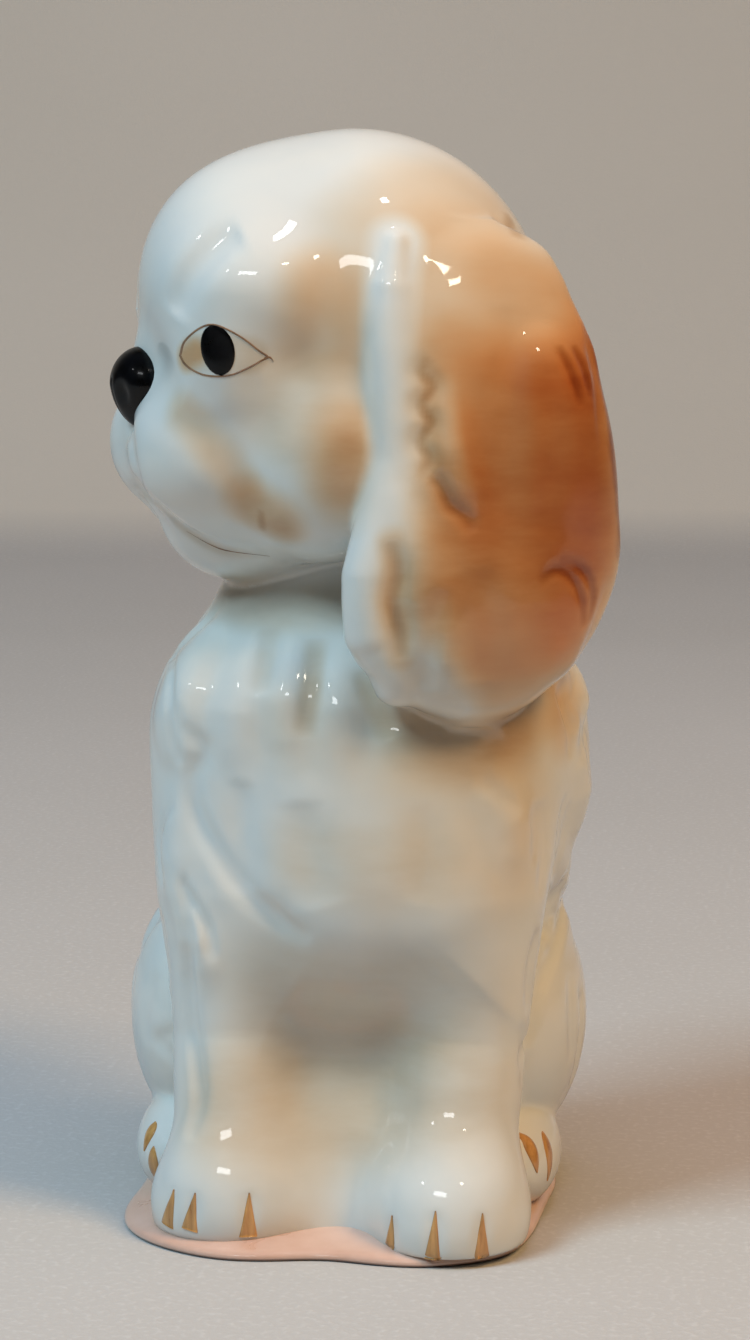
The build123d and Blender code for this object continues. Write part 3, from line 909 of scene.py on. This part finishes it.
# for each part of the figure: pigment, line, radius of the full amount, how far it fades beyond it, amount.
# Most of it is the figure's own airbrushed colour; the entries marked painted shade or warm light stand in
# for light.
AIRBRUSH_AND_PAINTED_SHADE = {
    "head and ears": [
        (ORANGE, [(1.5, 82.4), (3.8, 84.2), (7.9, 85.0), (10.4, 83.8)], 0.3, 6.5, 0.24),
        (BROWN, [(12.4, 83.2), (13.6, 81.0)], 0.1, 1.0, 0.35),
        (ORANGE, [(-2.2, 76.8), (-2.4, 72.6)], 1.0, 4.2, 0.38),
        (ORANGE, [(0.4, 76.0), (0.8, 71.0)], 0.4, 3.0, 0.14),
        (ORANGE, [(-0.4, 66.0), (-1.0, 60.4)], 0.1, 4.6, 0.42),
        (BROWN, [(-5.4, 67.2), (-2.8, 64.6), (-1.0, 63.6)], 1.0, 5.0, 0.15),
        (ORANGE, [(-4.6, 65.6), (-2.2, 63.6)], 1.0, 4.0, 0.08),
        (BROWN, [(-0.4, 63.6), (-1.2, 61.0)], 0.1, 3.0, 0.16),
        (ORANGE, [(-14.0, 66.8), (-12.4, 65.0), (-9.2, 60.8)], 0.3, 2.3, 0.24),
        (ORANGE, [(-8.4, 59.4), (-6.2, 58.0)], 0.8, 2.6, 0.36),
        (BROWN, [(-7.8, 58.5), (-6.4, 57.4)], 0.5, 2.2, 0.26),
        (BROWN, [(-7.7, 58.8), (-7.6, 57.0)], 0.0, 0.6, 0.35),
        (ORANGE, [(-13.9, 71.3), (-13.0, 71.8)], 0.4, 1.2, 0.5),
        (BROWN, [(-13.2, 71.6), (-11.0, 72.0), (-8.6, 71.5)], 1.0, 0.9, 0.16),
        (BROWN, MOUTH, 0.0, 0.8, 0.16),
        (ORANGE, [(9.0, 77.4), (12.6, 76.4), (16.6, 73.6)], 2.6, 6.6, 0.4),
        (ORANGE, [(12.0, 78.2), (15.6, 76.4), (18.6, 72.8)], 0.8, 4.4, 0.24),
        (ORANGE, [(11.6, 66.6), (12.4, 61.0), (12.0, 55.0), (12.4, 49.8)], 3.2, 6.6, 0.46),
        (ORANGE, [(15.4, 66.6), (16.4, 61.0), (16.4, 54.4), (15.0, 48.6)], 2.6, 7.2, 0.52),
        (ORANGE, [(17.4, 67.9), (18.0, 62.1), (18.2, 56.3)], 0.8, 5.4, 0.3),
        (ORANGE, [(19.6, 72.0), (20.8, 62.0), (20.2, 53.6), (18.6, 49.0)], 0.9, 4.4, 0.46),
        (BROWN, [(15.8, 65.6), (16.6, 61.0), (15.4, 54.3)], 0.3, 8.0, 0.44),
        (BROWN, [(9.6, 61.0), (8.8, 56.0), (7.8, 51.4)], 0.8, 4.6, 0.26),
        (ORANGE, [(9.0, 59.0), (8.0, 54.0), (6.4, 50.4)], 0.8, 4.4, 0.22),
        (BROWN, [(4.4, 51.0), (5.4, 47.0), (8.4, 44.6)], 1.2, 4.2, 0.14),
        (BROWN, [(19.6, 70.0), (20.8, 60.0), (20.4, 54.0)], 0.3, 3.6, 0.26),
        (ORANGE, [(7.6, 72.0), (8.6, 65.0), (9.6, 58.0)], 0.6, 4.0, 0.26),
        (ORANGE, EAR_RIDGE, 0.2, 1.2, -0.3),
        (ORANGE, [(7.4, 48.4), (7.3, 45.6), (8.3, 42.6)], 0.8, 2.6, -0.3),
        (BROWN, EAR_GROOVE, 0.0, 0.7, 0.34),
        (BROWN, EAR_GROOVE, 0.4, 1.9, 0.08),
        (BROWN, EAR_SPLIT, 0.0, 0.9, 0.4),
        (BROWN, LOCK_GROOVE, 0.0, 0.9, 0.35),
        (ORANGE, LOCK_GROOVE, 0.2, 1.5, 0.26),
        *((BROWN, curl, 0.0, 0.7, 0.6) for curl in EAR_CURLS),
        (BROWN, [(19.3, 74.4), (20.6, 69.5), (21.4, 63.7), (22.0, 57.9), (22.0, 54.6)], 0.2, 1.0, 0.9),
    ],
    "body": [
        (ORANGE, [(17.4, 44.5), (17.4, 40.6)], 0.6, 3.4, 0.3),
        # painted shade: a darker wash in the hollow under the chest's apron, where the apron shades the legs
        (BROWN, [(-5.0, 18.4), (0.0, 16.6), (6.6, 17.4)], 2.0, 6.0, 0.14),
        # painted shade: a darker wash low on the chest, between its lumps
        (BROWN, [(-3.4, 29.4), (1.0, 28.6), (5.0, 28.8)], 1.0, 4.6, 0.14),
        # painted shade and painted warm light: a darker brown wash and a warm orange one over the lower front
        # between the paws
        (BROWN, [(-9.0, 7.6), (0.0, 8.0), (7.0, 9.0)], 2.4, 6.0, 0.17),
        (ORANGE, [(-9.0, 7.6), (-2.0, 8.0), (4.0, 8.0)], 2.0, 6.0, 0.07),
        # painted warm light: a faint warm tint on the middle of the chest, for lamplight from the right
        (ORANGE, [(-4.6, 40.4), (0.0, 39.4), (4.0, 37.6)], 1.0, 5.0, 0.1),
        (BROWN, CHEST_FURROWS[0], 0.2, 1.2, 0.1),
        (BROWN, CHEST_FURROWS[1], 0.2, 1.2, 0.26),
        (BROWN, CHEST_FURROWS[2], 0.2, 1.3, 0.24),
    ],
    "head, ears and body": [
        # painted shade: a darker wash on the throat under the chin
        (BROWN, [(-10.6, 52.0), (-7.0, 50.6), (-2.0, 50.6)], 0.8, 3.0, 0.2),
        # painted shadow: the ear's shadow on the chest below it, brown with a warm orange edge
        (BROWN, [(5.6, 39.8), (9.4, 38.4), (13.4, 40.0)], 0.6, 3.8, 0.26),
        (ORANGE, [(12.6, 40.4), (16.4, 43.0)], 0.5, 3.2, 0.24),
        # partly the figure's own peach overspray and partly painted warm light, reflected from the orange ear
        # onto the right side of the chest
        (ORANGE, [(9.6, 39.6), (12.4, 36.0), (11.0, 30.0)], 1.0, 8.0, 0.2),
    ],
}
THIN_STROKE = 1.6  # a stroke narrower than this thins out at its ends
WHITE_RIM = (1.6, 2.9)  # how far from the middle of an ear's white front rim colour starts, and is full


def airbrush_and_painted_shade(clay, points, name):
    """Pigment at one piece's points, painted shade and warm light included: orange and brown, and two empty
    channels.
    """
    on_top = name == "head" or name.startswith("ear")
    sides = {"head": ("left", "right"), "ear_right": ("right",)}.get(name, ("left",))
    paint = np.zeros((len(points), 4))
    for where, layers in AIRBRUSH_AND_PAINTED_SHADE.items():
        if ("ears" if on_top else "body") not in where:
            continue
        for pigment, line, full, fade, amount in layers:
            for side in sides:
                away, along = near_line(points, on_side(clay, line, side, 3))
                share = np.clip((full + fade - away) / fade, 0, 1)
                share = share * share * (3 - 2 * share)
                if full + fade < THIN_STROKE:
                    share *= np.sin(math.pi * np.clip(along, 0, 1)) ** 0.5
                paint[:, pigment] += amount * share
    if on_top:
        for side in SIDES.values():
            rim = np.array([on_head(along, side * across, up) for along, across, up, _ in EAR_EDGE[:6]])
            away = (near_line(points, rim)[0] - WHITE_RIM[0]) / (WHITE_RIM[1] - WHITE_RIM[0])
            paint *= np.clip(away, 0, 1)[:, None]
    return np.maximum(paint, 0)


# ---- materials
class Nodes:
    """Short ways to add nodes to one material."""

    def __init__(self, name):
        self.material = bpy.data.materials.new(name)
        self.material.use_nodes = True
        self.tree = self.material.node_tree
        self.shader = self.tree.nodes["Principled BSDF"]

    def add(self, kind, inputs=None, **settings):
        node = self.tree.nodes.new(kind)
        for key, value in settings.items():
            setattr(node, key, value)
        for key, value in (inputs or {}).items():
            self.feed(node.inputs[key], value)
        return node

    def feed(self, socket, value):
        if isinstance(value, bpy.types.NodeSocket):
            self.tree.links.new(value, socket)
        else:
            socket.default_value = value

    def noise(self, scale, detail=4.0, stretch=(1, 1, 1), rough=0.5):
        place = self.add("ShaderNodeTexCoord").outputs["Object"]
        mapped = self.add("ShaderNodeMapping", {"Vector": place, "Scale": stretch}).outputs[0]
        inputs = {"Vector": mapped, "Scale": scale, "Detail": detail, "Roughness": rough}
        return self.add("ShaderNodeTexNoise", inputs).outputs["Fac"]

    def mix(self, share, one, other, blend="MIX"):
        inputs = {"Factor": share, "A": one, "B": other}
        return self.add("ShaderNodeMix", inputs, data_type="RGBA", blend_type=blend).outputs["Result"]

    def multiply(self, a, b):
        return self.add("ShaderNodeMath", {0: a, 1: b}, operation="MULTIPLY").outputs[0]

    def height(self):
        place = self.add("ShaderNodeTexCoord").outputs["Object"]
        return self.add("ShaderNodeSeparateXYZ", {"Vector": place}).outputs["Z"]

    def range(self, value, low, high, new_low=0.0, new_high=1.0):
        inputs = {"Value": value, "From Min": low, "From Max": high, "To Min": new_low, "To Max": new_high}
        return self.add("ShaderNodeMapRange", inputs).outputs["Result"]

    def bump(self, height, strength, distance):
        inputs = {"Height": height, "Strength": strength, "Distance": distance}
        self.feed(self.shader.inputs["Normal"], self.add("ShaderNodeBump", inputs).outputs["Normal"])

    def set(self, **values):
        for key, value in values.items():
            self.feed(self.shader.inputs[key.replace("_", " ")], value)


def porcelain():
    """Clear glaze over a white body. Pigment under it takes its share of the light, as a dye does; some of
    the pigment is painted shade and painted warm light.
    """
    n = Nodes("glazed_porcelain")
    paint = n.add("ShaderNodeAttribute", attribute_name="paint")
    amounts = n.add("ShaderNodeSeparateColor", {"Color": paint.outputs["Color"]}).outputs
    streaks = n.noise(420, 5, (0.3, 0.3, 1), 0.6)
    clouds = n.noise(140, 3)
    colour = n.mix(n.range(clouds, 0.35, 0.65), (0.66, 0.68, 0.66, 1), (0.71, 0.71, 0.67, 1))
    for amount, dye, low, high in (
        (amounts[0], (0.80, 0.37, 0.15, 1), 0.93, 1.07),
        (amounts[1], (0.42, 0.25, 0.13, 1), 0.75, 1.25),
    ):
        uneven = n.multiply(amount, n.range(streaks, 0.3, 0.7, low, high))
        tint = n.add("ShaderNodeGamma", {"Color": dye, "Gamma": uneven}).outputs["Color"]
        colour = n.mix(1.0, colour, tint, "MULTIPLY")
    n.set(Base_Color=colour, Roughness=0.45, Coat_Weight=1.0, Coat_Roughness=0.03)
    n.bump(n.noise(260, 2), 0.15, 0.0002)
    return n.material


def gloss(name, dark, light, scale=900.0, stretch=(1, 1, 1), shine=1.0, edge=None):
    """Enamel whose colour varies with the brush, and which may have a differently coloured lower edge."""
    n = Nodes(name)
    brush = n.noise(scale, 4, stretch, 0.6)
    colour = n.mix(n.range(brush, 0.35, 0.65), dark, light)
    if edge:
        colour = n.mix(n.range(n.height(), 0.00012, 0.0003), edge, colour)
    n.set(Base_Color=colour, Roughness=n.range(brush, 0.3, 0.7, 0.25, 0.4))
    n.set(Specular_IOR_Level=0.5 * shine, Coat_Weight=shine, Coat_Roughness=0.04)
    n.bump(brush, 0.2, 0.00005)
    return n.material


FOOT_LINE = (0.12, 0.05, 0.03, 1)  # the dark line where the slab meets the table


def make_materials():
    return {
        "porcelain": porcelain(),
        "black": gloss("black_enamel", (0.001, 0.001, 0.001, 1), (0.003, 0.003, 0.004, 1), shine=0.25),
        "brown": gloss("brown_enamel", (0.12, 0.06, 0.03, 1), (0.30, 0.17, 0.09, 1)),
        "amber": gloss("amber_enamel", (0.36, 0.16, 0.04, 1), (0.62, 0.33, 0.11, 1), 1400, (1, 1, 0.15)),
        "slab": gloss("slab_glaze", (0.60, 0.37, 0.28, 1), (0.69, 0.47, 0.38, 1), 150, edge=FOOT_LINE),
    }


# ---- light, floor and camera
def set_camera():
    right, away = view_directions(CAMERA_TURN)
    data = bpy.data.cameras.new("camera")
    data.lens = LENS
    data.sensor_width = SENSOR
    data.clip_start = 0.01
    camera = link("camera", data)
    camera.location = (right * CAMERA_ASIDE - away * CAMERA_DISTANCE + UP * CAMERA_HEIGHT) * MM
    camera.rotation_euler = (math.radians(90 - CAMERA_TILT), 0, math.radians(CAMERA_TURN))
    bpy.context.scene.camera = camera


def area_light(name, bearing, climb, distance, size, power, colour, highlight=False):
    """A panel aimed at the figure, which either lights it or is seen in its glaze. Bearing and climb are
    degrees, from the camera's side towards the right, and upwards. Distance and size are metres."""
    turn = math.radians(CAMERA_TURN + bearing)
    climb = math.radians(climb)
    outward = Vector((math.sin(turn) * math.cos(climb), -math.cos(turn) * math.cos(climb), math.sin(climb)))
    data = bpy.data.lights.new(name, "AREA")
    data.shape = "RECTANGLE"
    data.size, data.size_y = size
    data.energy = power
    data.color = colour
    light = link(name, data)
    light.location = outward * distance + Vector((0, 0, HEIGHT / 2 * MM))
    light.rotation_euler = outward.to_track_quat("Z", "Y").to_euler()
    light.visible_glossy = highlight
    light.visible_diffuse = not highlight


def make_stage():
    """A pale floor that sweeps up into a backdrop. Lengths are metres, away from the camera and up."""
    front, bend, radius, top, width = -1.6, 0.46, 0.25, 2.0, 6.0
    profile = [(front, 0.0), (0.2, 0.0), (bend, 0.0)]
    for angle in np.linspace(0.1, math.pi / 2, 14):
        profile.append((bend + radius * math.sin(angle), radius * (1 - math.cos(angle))))
    profile.append((bend + radius, top))
    right, away = view_directions(CAMERA_TURN)
    points = [away * d + UP * h + right * width * s for d, h in profile for s in (-0.5, 0.5)]
    faces = [(2 * i, 2 * i + 1, 2 * i + 3, 2 * i + 2) for i in range(len(profile) - 1)]
    n = Nodes("stage_paper")
    tone, speck = n.noise(6, 3), n.noise(1500, 2)
    floor = n.mix(n.range(tone, 0.3, 0.7), (0.44, 0.43, 0.41, 1), (0.475, 0.465, 0.45, 1))
    floor = n.mix(n.range(speck, 0.52, 0.75, 0, 0.35), floor, (0.62, 0.62, 0.61, 1))
    wall = n.mix(n.range(tone, 0.3, 0.7), (0.62, 0.585, 0.52, 1), (0.65, 0.615, 0.55, 1))
    n.set(Base_Color=n.mix(n.range(n.height(), 0.0005, 0.006), floor, wall), Roughness=0.85)
    n.bump(speck, 0.25, 0.0003)
    make_mesh("stage", np.array(points) / MM, np.array(faces), n.material)


DAYLIGHT, LAMPLIGHT, HALOGEN = (0.95, 0.98, 1.0), (1.0, 0.97, 0.92), (1.0, 0.88, 0.7)
HIGHLIGHTS = [  # small lights that are only seen in the glaze: bearing, climb, size, power and colour
    ("tube", -19, 38, (0.26, 0.075), 0.6, DAYLIGHT),
    ("window_bars", -58, 42, (0.06, 0.04), 0.1, DAYLIGHT),
    ("bulb", 22, 75, (0.05, 0.05), 0.18, LAMPLIGHT),
    ("spot", 25, 49, (0.055, 0.035), 0.15, HALOGEN),
]
HIGHLIGHT_DISTANCE = 0.8


def light_scene():
    area_light("cool_window", -54, 51, 0.75, (0.26, 0.28), 4.5, (0.59, 0.85, 1.0))
    area_light("warm_lamp", 56, 49, 0.7, (0.2, 0.25), 3.5, (1.0, 0.64, 0.30))
    area_light("ceiling", 0, 84, 0.9, (0.4, 0.4), 2.6, (0.9, 0.82, 1.0))
    for name, bearing, climb, size, power, colour in HIGHLIGHTS:
        area_light(name, bearing, climb, HIGHLIGHT_DISTANCE, size, power, colour, highlight=True)
    world = bpy.data.worlds.new("room")
    bpy.context.scene.world = world
    world.use_nodes = True
    background = world.node_tree.nodes["Background"]
    background.inputs["Color"].default_value = (0.02, 0.02, 0.02, 1)
    bpy.context.scene.view_settings.view_transform = "Standard"


# ---- the whole figure
def model_clay():
    clay = Clay((-22.4, -20.6, 0.0), (22.8, 24.6, HEIGHT + 1.0))
    mould_torso(clay)
    mould_head(clay)
    for side in SIDES:
        mould_ear(clay, side)
        mould_legs(clay, side)
    mould_tail(clay)
    clay.trim_below(SLAB_TOP / 2)
    hollow_out(clay)
    press_head(clay)
    press_ears(clay)
    press_body(clay)
    comb_fur(clay)
    return clay


def fire(clay, materials):
    """Turns the clay into one glazed mesh for each piece."""
    points, normals, pieces = surface_nets(clay)
    for name, (faces, hidden) in pieces.items():
        corner_normals = normals[faces]
        p, q, r = (points[faces[hidden, k]] for k in range(3))
        corner_normals[hidden] = unit(np.cross(q - p, r - p))[:, None]
        used, compact = np.unique(faces, return_inverse=True)
        compact = compact.reshape(faces.shape)
        paint = airbrush_and_painted_shade(clay, points[used], name)
        glaze = materials["porcelain"]
        piece = make_mesh(f"{name}_glazed", points[used], compact, glaze, corner_normals, paint)
        stand_in(piece, name)


clay = model_clay()
materials = make_materials()
fire(clay, materials)
paint_eyes(clay, materials)
paint_mouth(clay, materials)
paint_claws(clay, materials)
make_nose(materials)
make_slab(materials)
set_camera()
make_stage()
light_scene()
